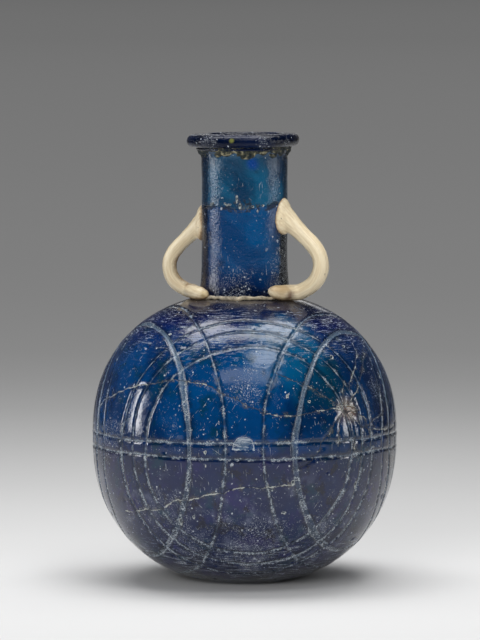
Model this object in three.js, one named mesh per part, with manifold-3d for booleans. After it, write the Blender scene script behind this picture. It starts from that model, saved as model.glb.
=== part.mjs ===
// Two-handled flask of blown cobalt-blue glass: a globe, a cylindrical neck with a folded rim, a thread of
// ivory glass laid round the foot of the neck, and two ivory handles from the neck to the shoulder.
// Millimetres, +Z up. The flask stands on z = 0 with its axis on Z, and its decorated front faces -Y.
// A bearing is in degrees round the axis, from the front (-Y) towards +X.

import * as THREE from "three";
import { mergeVertices } from "three/addons/utils/BufferGeometryUtils.js";
import Module from "manifold-3d";

// Globe: its section is a superellipse, an ellipse at SQUARENESS 2 and boxier above it. SHOULDER_RISE and
// BELLY_DROP are its half-heights above and below the equator; the flat base cuts the lower one off.
const GLOBE_RADIUS = 50.7;
const SHOULDER_RISE = 47.4;
const BELLY_DROP = 49.5;
const SQUARENESS = 2.25;
const GLOBE_WALL = 2.6;

// Base: a flat ring to stand on, round a kick pushed up into the globe.
const BASE_RADIUS = 15.7;
const KICK_RADIUS = 9.5;
const KICK_HEIGHT = 1.4;
const BASE_THICKNESS = 3.4;

// Wheel-cut lines: two round the equator, at these heights from it, and a row of large circles that cross
// each other. A circle is all that lies CIRCLE_SPREAD degrees, seen from the globe's middle, from its centre.
const BAND_LINE_HEIGHTS = [-3.0, 1.9];
const BAND_LINE_WIDTH = 1.1;
const BAND_LINE_DEPTH = 0.45;
const CIRCLE_BEARINGS = [-124, -68, 0, 62.5, 122, 180];
const CIRCLE_SPREAD = 49;
const CIRCLE_LINE_WIDTH = 1.8;
const CIRCLE_LINE_DEPTH = 0.7;

// Neck: a tube that flares at its foot, and again under the rim. It broke across and was rejoined.
const NECK_RADIUS = 14.3;
const NECK_LENGTH = 48.15;
const NECK_WALL = 2.2;
const FOOT_FLARE = 1.0;
const FOOT_FLARE_LENGTH = 11;
const TOP_FLARE = 0.8;
const TOP_FLARE_LENGTH = 2.4;
const BREAK_ABOVE_FOOT = 29.5;

// Rim: folded out and back into a flat disc with a round edge, over a tucked-in fold.
const RIM_OVERHANG = 4.3;
const RIM_THICKNESS = 4.2;
const MOUTH_INSET = 0.3;
const LIP_ROUNDING = 1.5;
const FOLD_OVERHANG = 1.3;
const FOLD_DEPTH = 1.1;

// Thread laid in the angle between neck and shoulder.
const THREAD_RADIUS = 0.7;

// Handles: one rod of glass each, pressed on the neck in a pad, drawn out and down in a straight slope, bent
// back in an arc, and run along the neck's foot towards the front. A rise is a height above the neck's foot,
// and a reach is how far the rod's middle stands out from the neck.
const PAD_LENGTH = 12.2;
const PAD_WIDTH = 9.4;
const PAD_DEPTH = 3;
const RIGHT_ROD = 5.4;
const RIGHT_PAD_RISE = 26.5;
const RIGHT_REACH = 13.8;
const RIGHT_WIDEST_RISE = 10.7;
const RIGHT_BEND = 8.6;
const LEFT_ROD = 4.9;
const LEFT_PAD_RISE = 23.9;
const LEFT_REACH = 11.9;
const LEFT_WIDEST_RISE = 9.3;
const LEFT_BEND = 7.9;
const RIGHT_BEARING = 65;
const RIGHT_FOOT_BEARING = 29;
const LEFT_BEARING = -105;
const LEFT_FOOT_BEARING = -46;
const FOOT_BACK_ANGLE = 13;
const PAD_FLARE = 0.45;
const FLARED_SHARE = 0.3;
const ROD_SPREAD = 1.1;
const FOOT_SPREAD = 1.15;

// Space left between pieces of glass that touch.
const SEAT_GAP = 0.3;

const GLOBE_SIDES = 60;
const CAVITY_SIDES = 32;
const NECK_SIDES = 40;
const ROD_SIDES = 12;
const CIRCLE_STEPS = 32;

const COBALT = { color: 0x0c2f6b, roughness: 0.22, metalness: 0 };
const IVORY = { color: 0xe2d6b4, roughness: 0.55, metalness: 0 };

const wasm = await Module();
wasm.setup();

const EQUATOR_HEIGHT = BELLY_DROP * (1 - (BASE_RADIUS / GLOBE_RADIUS) ** SQUARENESS) ** (1 / SQUARENESS);
const NECK_FOOT_RADIUS = NECK_RADIUS + FOOT_FLARE;
const NECK_FOOT_HEIGHT = shoulderHeight(NECK_FOOT_RADIUS) + SEAT_GAP;
const NECK_TOP_HEIGHT = NECK_FOOT_HEIGHT + NECK_LENGTH;
const RIM_UNDERSIDE = NECK_TOP_HEIGHT + SEAT_GAP + FOLD_DEPTH;
const FLASK_HEIGHT = RIM_UNDERSIDE + RIM_THICKNESS;

// A point at a bearing round the axis.
function around(bearing, radius, height) {
  const angle = THREE.MathUtils.degToRad(bearing);
  return new THREE.Vector3(radius * Math.sin(angle), -radius * Math.cos(angle), height);
}

// A profile of (radius, height) points turned round the Z axis. It runs counter-clockwise: up the outside and
// down the inside.
function turned(profile, sides) {
  return new THREE.LatheGeometry(profile, sides).rotateX(Math.PI / 2);
}

// The profile of a solid that is closed by the axis at both ends.
function closedByAxis(outline) {
  return [new THREE.Vector2(0, outline[0].y), ...outline, new THREE.Vector2(0, outline.at(-1).y)];
}

// The globe's section, or one that stands off it by `offset`: negative is inside the glass.
function sectionPoint(angle, offset = 0) {
  const power = 2 / SQUARENESS;
  const reach = (angle < 0 ? BELLY_DROP : SHOULDER_RISE) + offset;
  return new THREE.Vector2(
    (GLOBE_RADIUS + offset) * Math.cos(angle) ** power,
    EQUATOR_HEIGHT + Math.sign(angle) * reach * Math.abs(Math.sin(angle)) ** power,
  );
}

// The angle at which that section reaches a radius on the shoulder, or a height from the equator.
function shoulderAngle(radius, offset = 0) {
  return Math.acos((radius / (GLOBE_RADIUS + offset)) ** (SQUARENESS / 2));
}

function angleAt(fromEquator, offset = 0) {
  const reach = (fromEquator < 0 ? BELLY_DROP : SHOULDER_RISE) + offset;
  return Math.sign(fromEquator) * Math.asin((Math.abs(fromEquator) / reach) ** (SQUARENESS / 2));
}

function sectionBetween(from, to, steps, offset = 0) {
  const points = [];
  for (let i = 0; i <= steps; i++) {
    points.push(sectionPoint(THREE.MathUtils.lerp(from, to, i / steps), offset));
  }
  return points;
}

function shoulderHeight(radius, offset = 0) {
  return sectionPoint(shoulderAngle(radius, offset), offset).y;
}

// A V-shaped line ground round the globe, as three profile points from its lower edge to its upper one.
function bandLine(heightFromEquator) {
  return [-1, 0, 1].map((side) => {
    const surface = sectionPoint(angleAt(heightFromEquator + (side * BAND_LINE_WIDTH) / 2));
    return new THREE.Vector2(surface.x - (side ? 0 : BAND_LINE_DEPTH), surface.y);
  });
}

function globeOutside() {
  const lines = BAND_LINE_HEIGHTS.map(bandLine);
  const clearOfLines = (point) =>
    lines.every((line) => point.y < line[0].y - BAND_LINE_WIDTH || point.y > line[2].y + BAND_LINE_WIDTH);
  const curve = sectionBetween(angleAt(-EQUATOR_HEIGHT), shoulderAngle(NECK_FOOT_RADIUS), 18);
  return [...curve.filter(clearOfLines), ...lines.flat()].sort((a, b) => a.y - b.y);
}

// The outside of the globe as seen from its middle: how far it is in a direction.
function surfaceDistance(direction) {
  const level = Math.hypot(direction.x, direction.y) / GLOBE_RADIUS;
  const upright = Math.abs(direction.z) / (direction.z < 0 ? BELLY_DROP : SHOULDER_RISE);
  return (level ** SQUARENESS + upright ** SQUARENESS) ** (-1 / SQUARENESS);
}

// The V-shaped body that the wheel takes out along one circle, open a little way above the glass.
function circleCut(bearing) {
  const centre = around(bearing, 1, 0);
  const sideways = around(bearing + 90, 1, 0);
  const above = 1;
  const halfWidth = ((CIRCLE_LINE_WIDTH / 2) * (CIRCLE_LINE_DEPTH + above)) / CIRCLE_LINE_DEPTH;
  const corners = [
    { across: -halfWidth, out: above },
    { across: 0, out: -CIRCLE_LINE_DEPTH },
    { across: halfWidth, out: above },
  ];
  const positions = [];
  const triangles = [];
  for (let step = 0; step < CIRCLE_STEPS; step++) {
    const turn = (2 * Math.PI * step) / CIRCLE_STEPS;
    for (const { across, out } of corners) {
      const spread = THREE.MathUtils.degToRad(CIRCLE_SPREAD) + across / GLOBE_RADIUS;
      const direction = centre
        .clone()
        .multiplyScalar(Math.cos(spread))
        .addScaledVector(sideways, Math.sin(spread) * Math.cos(turn))
        .add(new THREE.Vector3(0, 0, Math.sin(spread) * Math.sin(turn)));
      const place = direction.multiplyScalar(surfaceDistance(direction) + out);
      positions.push(place.x, place.y, place.z + EQUATOR_HEIGHT);
    }
    const ring = 3 * step;
    const after = 3 * ((step + 1) % CIRCLE_STEPS);
    for (let corner = 0; corner < 3; corner++) {
      const next = (corner + 1) % 3;
      triangles.push(ring + corner, after + next, ring + next, ring + corner, after + corner, after + next);
    }
  }
  return meshOf(positions, triangles);
}

function meshOf(positions, triangles) {
  return new THREE.BufferGeometry()
    .setAttribute("position", new THREE.Float32BufferAttribute(positions, 3))
    .setIndex(triangles);
}

function globe() {
  const outside = globeOutside();
  const kick = [90, 45, 0].map((degrees) => {
    const angle = THREE.MathUtils.degToRad(degrees);
    return new THREE.Vector2(KICK_RADIUS * Math.cos(angle), KICK_HEIGHT * Math.sin(angle));
  });
  const blank = turned([...kick, ...outside, new THREE.Vector2(0, outside.at(-1).y)], GLOBE_SIDES);

  const mouth = NECK_FOOT_RADIUS - NECK_WALL;
  const lowest = angleAt(KICK_HEIGHT + BASE_THICKNESS - EQUATOR_HEIGHT, -GLOBE_WALL);
  const inside = [
    ...sectionBetween(lowest, shoulderAngle(mouth, -GLOBE_WALL), 9, -GLOBE_WALL),
    new THREE.Vector2(mouth, outside.at(-1).y + GLOBE_WALL),
  ];
  const cavity = turned(closedByAxis(inside), CAVITY_SIDES);

  let glass = solidFrom(blank);
  for (const bearing of CIRCLE_BEARINGS) {
    glass = glass.subtract(solidFrom(circleCut(bearing)));
  }
  return geometryFrom(glass.subtract(solidFrom(cavity)));
}

function neckRadius(height) {
  const foot = Math.max(0, 1 - (height - NECK_FOOT_HEIGHT) / FOOT_FLARE_LENGTH);
  const top = Math.max(0, 1 - (NECK_TOP_HEIGHT - height) / TOP_FLARE_LENGTH);
  return NECK_RADIUS + FOOT_FLARE * foot ** 2 + TOP_FLARE * top ** 2;
}

// The neck's outside between two heights, with points only where it curves.
function neckOutside(from, to, offset = 0) {
  const heights = new Set([from, to]);
  for (let i = 0; i <= 3; i++) {
    heights.add(NECK_FOOT_HEIGHT + (FOOT_FLARE_LENGTH * i) / 3);
    heights.add(NECK_TOP_HEIGHT - (TOP_FLARE_LENGTH * i) / 3);
  }
  return [...heights]
    .filter((height) => height >= from && height <= to)
    .sort((a, b) => a - b)
    .map((height) => new THREE.Vector2(neckRadius(height) + offset, height));
}

// A length of the neck's tube.
function neckTube(from, to) {
  const outside = neckOutside(from, to);
  const inside = outside.map((point) => new THREE.Vector2(point.x - NECK_WALL, point.y)).reverse();
  return turned([...outside, ...inside, outside[0]], NECK_SIDES);
}

// Part of a circle in a profile, from one angle to another in degrees, counter-clockwise from straight out.
function arc(radius, height, size, from, to, steps) {
  const points = [];
  for (let i = 0; i <= steps; i++) {
    const angle = THREE.MathUtils.degToRad(THREE.MathUtils.lerp(from, to, i / steps));
    points.push(new THREE.Vector2(radius + size * Math.cos(angle), height + size * Math.sin(angle)));
  }
  return points;
}

function foldedRim() {
  const edge = RIM_THICKNESS / 2;
  const fold = FOLD_DEPTH / 2;
  const bore = NECK_RADIUS - NECK_WALL - MOUTH_INSET;
  const foldFoot = RIM_UNDERSIDE - FOLD_DEPTH;
  const outside = [
    ...arc(NECK_RADIUS + FOLD_OVERHANG - fold, foldFoot + fold, fold, -90, 60, 3),
    ...arc(NECK_RADIUS + RIM_OVERHANG - edge, RIM_UNDERSIDE + edge, edge, -90, 90, 6),
    ...arc(bore + LIP_ROUNDING, FLASK_HEIGHT - LIP_ROUNDING, LIP_ROUNDING, 90, 180, 3),
    new THREE.Vector2(NECK_RADIUS + TOP_FLARE - NECK_WALL, foldFoot),
  ];
  return turned([...outside, outside[0]], NECK_SIDES);
}

function threadCentre() {
  const radius = NECK_FOOT_RADIUS + SEAT_GAP + THREAD_RADIUS;
  return new THREE.Vector2(radius, shoulderHeight(radius - THREAD_RADIUS) + SEAT_GAP + THREAD_RADIUS);
}

function threadRing() {
  const centre = threadCentre();
  return turned(arc(centre.x, centre.y, THREAD_RADIUS, 0, 360, 6), NECK_SIDES);
}

// The thread's outer face grown by the seat gap, with the angle behind it filled.
function threadCover() {
  const centre = threadCentre();
  const grown = THREAD_RADIUS + SEAT_GAP;
  const behind = NECK_FOOT_RADIUS - NECK_WALL;
  const below = centre.y - grown - GLOBE_WALL;
  const cover = [
    new THREE.Vector2(behind, below),
    new THREE.Vector2(centre.x + grown, below),
    ...arc(centre.x, centre.y, grown, 0, 90, 3),
    new THREE.Vector2(behind, centre.y + grown),
  ];
  return turned([...cover, cover[0]], NECK_SIDES);
}

// What a handle lies against: shoulder, neck and thread, each grown by the seat gap.
function flaskSurface() {
  const shoulder = sectionBetween(0, shoulderAngle(NECK_RADIUS / 2, SEAT_GAP), 22, SEAT_GAP);
  const neck = neckOutside(NECK_FOOT_HEIGHT, NECK_TOP_HEIGHT, SEAT_GAP);
  const neckFromShoulder = [new THREE.Vector2(neck[0].x, NECK_FOOT_HEIGHT - GLOBE_WALL), ...neck];
  return solidFrom(turned(closedByAxis(shoulder), GLOBE_SIDES))
    .add(solidFrom(turned(closedByAxis(neckFromShoulder), NECK_SIDES)))
    .add(solidFrom(threadCover()));
}

// A rod of oval section along a path. `reference` is a direction that the section's width follows, and the
// radii at each step come from two functions of the way along, from 0 to 1.
function rodAlong(path, reference, halfWidth, halfDepth, steps) {
  const positions = [...path.getPointAt(0).toArray()];
  const triangles = [];
  for (let step = 0; step <= steps; step++) {
    const along = step / steps;
    const tangent = path.getTangentAt(along);
    const depthway = new THREE.Vector3().crossVectors(tangent, reference).normalize();
    const widthway = new THREE.Vector3().crossVectors(depthway, tangent);
    for (let side = 0; side < ROD_SIDES; side++) {
      const angle = (2 * Math.PI * side) / ROD_SIDES;
      const place = path
        .getPointAt(along)
        .addScaledVector(widthway, halfWidth(along) * Math.cos(angle))
        .addScaledVector(depthway, halfDepth(along) * Math.sin(angle));
      positions.push(...place.toArray());
    }
  }
  positions.push(...path.getPointAt(1).toArray());
  const last = 1 + (steps + 1) * ROD_SIDES;
  for (let side = 0; side < ROD_SIDES; side++) {
    const next = (side + 1) % ROD_SIDES;
    triangles.push(0, 1 + next, 1 + side);
    for (let step = 0; step < steps; step++) {
      const ring = 1 + step * ROD_SIDES;
      const after = ring + ROD_SIDES;
      triangles.push(ring + side, ring + next, after + next, ring + side, after + next, after + side);
    }
    triangles.push(last - ROD_SIDES + side, last - ROD_SIDES + next, last);
  }
  return meshOf(positions, triangles);
}

function solidFrom(geometry) {
  const bare = geometry.index ? geometry.toNonIndexed() : geometry.clone();
  bare.deleteAttribute("normal");
  bare.deleteAttribute("uv");
  const merged = mergeVertices(bare, 1e-4);
  return new wasm.Manifold(
    new wasm.Mesh({
      numProp: 3,
      vertProperties: new Float32Array(merged.attributes.position.array),
      triVerts: new Uint32Array(merged.index.array),
    }),
  );
}

function geometryFrom(solid) {
  const mesh = solid.getMesh();
  const geometry = meshOf(Array.from(mesh.vertProperties), Array.from(mesh.triVerts));
  geometry.computeVertexNormals();
  return geometry;
}

// The pad where the hot rod was pressed on the neck: a leaf shape, longer than it is wide.
function neckPad(bearing, height) {
  const seat = around(bearing, NECK_RADIUS, height);
  return new THREE.SphereGeometry(1, 16, 10)
    .scale(PAD_WIDTH / 2, PAD_DEPTH, PAD_LENGTH / 2)
    .rotateZ(THREE.MathUtils.degToRad(bearing))
    .translate(seat.x, seat.y, seat.z);
}

// The rod's centre line: a straight slope off the pad that meets the bend as its tangent, the bend, and a
// straight run in to the foot.
function handleLoop({ bearing, rod, padRise, reach, widestRise, bend }) {
  const start = new THREE.Vector2(NECK_RADIUS, NECK_FOOT_HEIGHT + padRise);
  const centre = new THREE.Vector2(NECK_RADIUS + reach - bend, NECK_FOOT_HEIGHT + widestRise);
  const toStart = start.clone().sub(centre);
  const bendStart = toStart.angle() - Math.acos(bend / toStart.length());
  const footRadius = NECK_FOOT_RADIUS + rod / 2;
  const outline = new THREE.Path();
  outline.moveTo(start.x, start.y);
  outline.lineTo(centre.x + bend * Math.cos(bendStart), centre.y + bend * Math.sin(bendStart));
  outline.absarc(centre.x, centre.y, bend, bendStart, -Math.PI / 2, true);
  outline.lineTo(footRadius, shoulderHeight(footRadius) + rod / 2);
  return new THREE.CatmullRomCurve3(
    outline.getSpacedPoints(16).map((point) => around(bearing, point.x, point.y)),
  );
}

// The rod's end, laid along the foot of the neck from a little behind the handle towards the front.
function handleFoot({ bearing, rod, footBearing }) {
  const half = rod / 2;
  const radius = NECK_FOOT_RADIUS + half;
  const height = shoulderHeight(radius) + half;
  const back = bearing + Math.sign(bearing - footBearing) * FOOT_BACK_ANGLE;
  const line = [];
  for (let i = 0; i <= 6; i++) {
    line.push(around(THREE.MathUtils.lerp(back, footBearing, i / 6), radius, height));
  }
  const blunt = (along) => Math.sqrt(Math.max(0.01, 1 - Math.abs(2 * along - 1) ** 5));
  return rodAlong(
    new THREE.CatmullRomCurve3(line),
    new THREE.Vector3(0, 0, 1),
    (along) => half * FOOT_SPREAD * blunt(along),
    (along) => half * blunt(along),
    14,
  );
}

function handle(shape) {
  const { bearing, rod, padRise } = shape;
  const flare = (along) => 1 + PAD_FLARE * Math.max(0, 1 - along / FLARED_SHARE) ** 2;
  const drawnRod = rodAlong(
    handleLoop(shape),
    around(bearing + 90, 1, 0),
    (along) => (rod / 2) * ROD_SPREAD * flare(along),
    (along) => (rod / 2) * flare(along),
    22,
  );
  const joined = solidFrom(drawnRod)
    .add(solidFrom(neckPad(bearing, NECK_FOOT_HEIGHT + padRise)))
    .add(solidFrom(handleFoot(shape)));
  return geometryFrom(joined.subtract(flaskSurface()));
}

const rightHandle = {
  bearing: RIGHT_BEARING,
  rod: RIGHT_ROD,
  padRise: RIGHT_PAD_RISE,
  reach: RIGHT_REACH,
  widestRise: RIGHT_WIDEST_RISE,
  bend: RIGHT_BEND,
  footBearing: RIGHT_FOOT_BEARING,
};
const leftHandle = {
  bearing: LEFT_BEARING,
  rod: LEFT_ROD,
  padRise: LEFT_PAD_RISE,
  reach: LEFT_REACH,
  widestRise: LEFT_WIDEST_RISE,
  bend: LEFT_BEND,
  footBearing: LEFT_FOOT_BEARING,
};

function piece(name, geometry, finish) {
  const mesh = new THREE.Mesh(geometry, new THREE.MeshStandardMaterial(finish));
  mesh.name = name;
  return mesh;
}

const neckBreak = NECK_FOOT_HEIGHT + BREAK_ABOVE_FOOT;

const flask = new THREE.Group();
flask.add(
  piece("globe", globe(), COBALT),
  piece("neck_lower", neckTube(NECK_FOOT_HEIGHT, neckBreak - SEAT_GAP / 2), COBALT),
  piece("neck_upper", neckTube(neckBreak + SEAT_GAP / 2, NECK_TOP_HEIGHT), COBALT),
  piece("folded_rim", foldedRim(), COBALT),
  piece("neck_thread", threadRing(), IVORY),
  piece("handle_right", handle(rightHandle), IVORY),
  piece("handle_left", handle(leftHandle), IVORY),
);

export default flask;
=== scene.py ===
import math
from functools import partial, reduce
from types import SimpleNamespace

import bpy
import numpy as np
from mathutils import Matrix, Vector, noise
from mathutils.kdtree import KDTree


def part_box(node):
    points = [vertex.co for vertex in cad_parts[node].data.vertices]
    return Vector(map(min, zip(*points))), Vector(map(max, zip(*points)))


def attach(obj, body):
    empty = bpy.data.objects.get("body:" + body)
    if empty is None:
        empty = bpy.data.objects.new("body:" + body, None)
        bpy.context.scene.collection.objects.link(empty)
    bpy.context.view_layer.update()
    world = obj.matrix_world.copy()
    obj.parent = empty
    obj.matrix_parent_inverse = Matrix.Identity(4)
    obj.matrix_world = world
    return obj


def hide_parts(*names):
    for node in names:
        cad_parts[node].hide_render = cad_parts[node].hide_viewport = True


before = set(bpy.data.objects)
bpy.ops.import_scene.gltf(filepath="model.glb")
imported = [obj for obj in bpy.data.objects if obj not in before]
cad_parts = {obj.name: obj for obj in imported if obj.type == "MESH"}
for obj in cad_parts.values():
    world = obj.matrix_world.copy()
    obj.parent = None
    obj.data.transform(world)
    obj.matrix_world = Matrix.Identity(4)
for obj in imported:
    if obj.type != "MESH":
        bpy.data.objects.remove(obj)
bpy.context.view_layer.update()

# The view: a long lens at a seated eye's height, a metre and a half from the globe, looking slightly down.
# The flask stands a little right of the middle of the picture, with more room above it than below.
CAMERA_PLACE = (0.0, -1.4923, 0.1995)
CAMERA_AIM = (-0.0015, 0.0, 0.0859)
LENS = 254
SENSOR = 36
VIEW_DEPTH = 200


def aim(thing, place, towards):
    """Puts a camera or a lamp in the scene, turned towards a point."""
    thing.location = place
    thing.rotation_euler = (Vector(towards) - Vector(place)).to_track_quat("-Z", "Y").to_euler()
    bpy.context.scene.collection.objects.link(thing)


camera = bpy.data.objects.new("camera", bpy.data.cameras.new("camera"))
camera.data.lens = LENS
camera.data.sensor_width = SENSOR
camera.data.clip_end = VIEW_DEPTH
aim(camera, CAMERA_PLACE, CAMERA_AIM)
bpy.context.scene.camera = camera
bpy.context.scene.view_settings.view_transform = "Standard"

# The studio floor: a long run of pale paper under the flask and behind it. Its tone, listed by the distance
# back, makes it shade evenly from white to grey under these lamps. The studio is dark beside and before it.
FLOOR_SIZE = 120.0
FLOOR_START = -0.5
FLOOR_REACH = 40.0
PALE_AT = [
    (-0.5, 0.69), (-0.05, 0.71), (0.046, 0.642), (0.16, 0.557), (0.29, 0.506), (0.45, 0.465), (0.63, 0.438),
    (0.86, 0.464), (1.13, 0.546), (1.48, 0.603), (1.94, 0.643), (2.56, 0.652), (4.8, 0.631), (7.3, 0.610),
    (12.9, 0.563), (39.5, 0.513),
]
PAPER_HALF = 0.42
PAPER_WIDENING = 0.12
PAPER_FRONT = 0.40
PAPER_FADE = 0.45
DARK_SHARE = 0.90


def add(kind, inputs, **settings):
    """A shader node with its settings and inputs, in the tree that its first linked input comes from."""
    tree = next(value.id_data for value in inputs.values() if isinstance(value, bpy.types.NodeSocket))
    made = tree.nodes.new(kind)
    for name, value in settings.items():
        setattr(made, name, value)
    for socket, value in inputs.items():
        if isinstance(value, bpy.types.NodeSocket):
            tree.links.new(value, made.inputs[socket])
        else:
            made.inputs[socket].default_value = value
    return made


def calc(operation, first, second=0.0, third=0.0):
    return add("ShaderNodeMath", {0: first, 1: second, 2: third}, operation=operation).outputs[0]


def ramp(value, low, high, start=0.0, end=1.0, way="LINEAR"):
    """From start to end as a value goes from low to high."""
    inputs = {0: value, 1: low, 2: high, 3: start, 4: end}
    return add("ShaderNodeMapRange", inputs, interpolation_type=way).outputs[0]


def new_material(name):
    made = bpy.data.materials.new(name)
    made.use_nodes = True
    made.node_tree.nodes.clear()
    return made, made.node_tree


paper, tree = new_material("studio_paper")
place = tree.nodes.new("ShaderNodeTexCoord").outputs["Object"]
aside, back, _ = add("ShaderNodeSeparateXYZ", {0: place}).outputs
tone = add("ShaderNodeValToRGB", {0: ramp(back, FLOOR_START, FLOOR_START + FLOOR_REACH)})
stops = tone.color_ramp.elements
while len(stops) < len(PALE_AT):
    stops.new(0.5)
for stop, (at, _) in zip(stops, PALE_AT):
    stop.position = (at - FLOOR_START) / FLOOR_REACH
for stop, (_, pale) in zip(stops, PALE_AT):
    stop.color = (pale, pale, pale, 1)
widening = calc("MULTIPLY", calc("MAXIMUM", back, 0.0), PAPER_WIDENING)
beyond = calc("SUBTRACT", calc("ABSOLUTE", aside), widening)
beside = ramp(beyond, PAPER_HALF, PAPER_HALF + PAPER_FADE)
before = ramp(back, -PAPER_FRONT, -PAPER_FRONT - PAPER_FADE)
dark = calc("MULTIPLY", calc("MAXIMUM", beside, before), DARK_SHARE)
shaded = add("ShaderNodeMix", {0: dark, 6: tone.outputs[0], 7: (0, 0, 0, 1)}, data_type="RGBA").outputs[2]
matt = add("ShaderNodeBsdfDiffuse", {"Color": shaded}).outputs[0]
add("ShaderNodeOutputMaterial", {"Surface": matt})

half = FLOOR_SIZE / 2
floor_mesh = bpy.data.meshes.new("studio_floor")
floor_corners = [(-half, -half, 0), (half, -half, 0), (half, half, 0), (-half, half, 0)]
floor_mesh.from_pydata(floor_corners, [], [(0, 1, 2, 3)])
floor_mesh.materials.append(paper)
floor = bpy.data.objects.new("studio_floor", floor_mesh)
bpy.context.scene.collection.objects.link(floor)

# The studio light: a soft box overhead, a smaller one high in front and a screen that fills the shadows. The
# tall ones at the sides, a soft one in front and a faint one behind show only in the curved glass.
# A lamp: its name, place, the point that it faces, width, height, watts, if it lights matt things, and gloss.
LAMPS = [
    ("overhead", (-0.02, 0.12, 0.68), (-0.02, 0.08, 0.0), 0.62, 0.34, 4.2, True, True),
    ("upper_front", (0.20, -0.34, 0.86), (0.0, 0.0, 0.07), 0.30, 0.26, 1.4, True, True),
    ("front_fill", (-0.45, -1.5, 0.50), (0.0, 0.0, 0.08), 0.8, 0.8, 13.0, True, False),
    ("left_tall", (-1.0, -0.01, 0.22), (0.0, 0.0, 0.08), 0.19, 0.40, 2.9, False, True),
    ("right_tall", (1.0, -0.10, 0.19), (0.0, 0.0, 0.08), 0.18, 0.34, 1.5, False, True),
    ("front_soft", (0.03, -0.62, 0.72), (0.0, 0.0, 0.06), 0.70, 0.22, 0.95, False, True),
    ("far_back", (0.05, 1.6, 0.46), (0.0, 0.0, 0.12), 0.60, 0.16, 0.30, False, True),
]

for name, where, towards, width, height, watts, on_matt, in_gloss in LAMPS:
    lamp = bpy.data.objects.new(name, bpy.data.lights.new(name, "AREA"))
    lamp.data.shape = "RECTANGLE"
    lamp.data.size = width
    lamp.data.size_y = height
    lamp.data.energy = watts
    lamp.visible_camera = False
    lamp.visible_diffuse = on_matt
    lamp.visible_glossy = in_gloss
    aim(lamp, where, towards)

# The room: light from a pale ceiling on matt things, and dark walls in the gloss, which are darkest in front.
WALL_LIGHT = 0.07
CEILING_LIGHT = 0.35
FAR_GREY = 0.09
DARK_CEILING = 0.03
DARK_FRONT = 0.3

room = bpy.data.worlds.new("room")
room.use_nodes = True
tree = room.node_tree
tree.nodes.clear()
path = tree.nodes.new("ShaderNodeLightPath").outputs
mirrored = path["Is Camera Ray"]
for kind in ("Is Glossy Ray", "Is Transmission Ray"):
    mirrored = calc("MAXIMUM", mirrored, path[kind])
way = tree.nodes.new("ShaderNodeTexCoord").outputs["Generated"]
_, back, up = add("ShaderNodeSeparateXYZ", {0: way}).outputs
seen = ramp(up, 0.02, 0.45, FAR_GREY, DARK_CEILING)
seen = calc("MULTIPLY", seen, ramp(back, -0.3, 0.3, DARK_FRONT, 1.0))
felt = ramp(up, 0.0, 0.8, WALL_LIGHT, CEILING_LIGHT)
level = add("ShaderNodeMix", {0: mirrored, 2: felt, 3: seen}).outputs[0]
sky = add("ShaderNodeBackground", {"Color": (1, 1, 1, 1), "Strength": level}).outputs[0]
add("ShaderNodeOutputWorld", {"Surface": sky})
bpy.context.scene.world = room

# The globe: one bubble of cobalt-blue glass, blown round and cut cold with a wheel. Two lines run round its
# waist, and large medallions of two or three circles cross one another. Age left pits, scratches and cracks.
MM = 0.001
globe_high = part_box("globe")[1]
GLOBE_RADIUS = globe_high.x / MM
SHOULDER_RISE = 47.4
BELLY_DROP = 49.5
SQUARENESS = 2.25
BASE_RADIUS = 15.7
KICK_RADIUS = 9.5
KICK_HEIGHT = 1.4
BASE_THICKNESS = 3.4
GLOBE_WALL = 2.6
NECK_FOOT_RADIUS = 15.3
NECK_WALL = 2.2
MM_PER_DEGREE = math.radians(GLOBE_RADIUS)
EQUATOR = BELLY_DROP * (1 - (BASE_RADIUS / GLOBE_RADIUS) ** SQUARENESS) ** (1 / SQUARENESS)
GLOBE_COLUMNS = 576
GLOBE_ROWS = 250
INSIDE_ROWS = 14

# A cut line has a width and a depth. A medallion has the bearing and latitude of its centre in degrees and
# its circles, each given by how many degrees it stands off from that centre and by its kind of line.
BROAD = (1.7, 0.45)
FINE = (1.0, 0.28)
MEDALLIONS = [
    (1.7, -1.5, [(41.2, FINE), (47.9, FINE), (54.4, FINE)]),
    (-68, 0.0, [(47.9, BROAD), (61.0, FINE)]),
    (62.5, 0.0, [(43.9, BROAD), (55.4, FINE)]),
    (122, 0.0, [(43, FINE), (52.0, BROAD), (58.5, FINE)]),
    (180, 0.0, [(42, FINE), (49, BROAD), (57, FINE)]),
    (-124, 0.0, [(43, FINE), (50, BROAD), (58, FINE)]),
]
WAIST_LINES = [(-3.0, FINE), (1.9, FINE)]
WAVER = 0.45

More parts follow.
